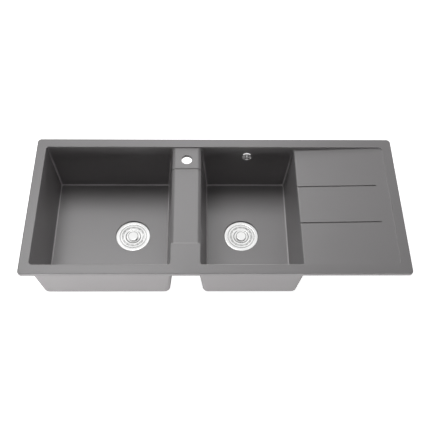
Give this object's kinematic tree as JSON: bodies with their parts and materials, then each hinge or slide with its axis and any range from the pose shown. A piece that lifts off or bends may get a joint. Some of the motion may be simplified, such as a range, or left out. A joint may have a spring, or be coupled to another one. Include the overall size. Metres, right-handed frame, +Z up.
{
  "type": "double bowl kitchen sink",
  "caption": "Inset composite kitchen sink with a large bowl, a smaller bowl, a tap ledge between them, a grooved drainer, lift-out strainers and an overflow.",
  "frame": {"origin": "middle of the rim's outline in plan, on the plane of the rim's underside, which is the worktop's surface", "axes": "+X along the sink towards the drainer, +Y to the back where the tap stands, +Z up"},
  "size_m": [1.16, 0.5, 0.2751],
  "materials": {
    "composite": "matt stone-filled composite, fine speckle",
    "pressed_steel": "satin pressed stainless steel",
    "polished_steel": "turned and polished stainless steel",
    "chrome_plate": "bright chrome plate",
    "black_plastic": "moulded black polypropylene",
    "seal_rubber": "black rubber",
    "insert_brass": "turned brass"
  },
  "bodies": {
    "sink": {"sink_body": "composite", "left_waste_flange": "pressed_steel", "left_flange_seal": "seal_rubber", "left_lower_seal": "seal_rubber", "left_waste_body": "black_plastic", "left_centre_bolt": "pressed_steel", "left_thread_insert": "insert_brass", "left_tail_washer": "seal_rubber", "left_tail_pipe": "black_plastic", "left_coupling_nut": "black_plastic", "right_waste_flange": "pressed_steel", "right_flange_seal": "seal_rubber", "right_lower_seal": "seal_rubber", "right_waste_body": "black_plastic", "right_centre_bolt": "pressed_steel", "right_thread_insert": "insert_brass", "right_tail_washer": "seal_rubber", "right_tail_pipe": "black_plastic", "right_coupling_nut": "black_plastic", "overflow_rosette": "chrome_plate", "overflow_screw": "chrome_plate", "overflow_gasket": "seal_rubber", "overflow_elbow": "black_plastic", "overflow_thread_insert": "insert_brass", "overflow_inlet": "black_plastic"},
    "left_strainer": {"left_strainer": "pressed_steel", "left_spacer": "pressed_steel", "left_strainer_plug": "seal_rubber", "left_knob": "polished_steel", "left_plug_nut": "pressed_steel"},
    "right_strainer": {"right_strainer": "pressed_steel", "right_spacer": "pressed_steel", "right_strainer_plug": "seal_rubber", "right_knob": "polished_steel", "right_plug_nut": "pressed_steel"}
  },
  "joints": [
    {"name": "left_strainer_lift", "type": "slide", "parent": "sink", "child": "left_strainer", "axis": [0, 0, 1], "range_m": [0, 0.25]},
    {"name": "right_strainer_lift", "type": "slide", "parent": "sink", "child": "right_strainer", "axis": [0, 0, 1], "range_m": [0, 0.25]}
  ]
}
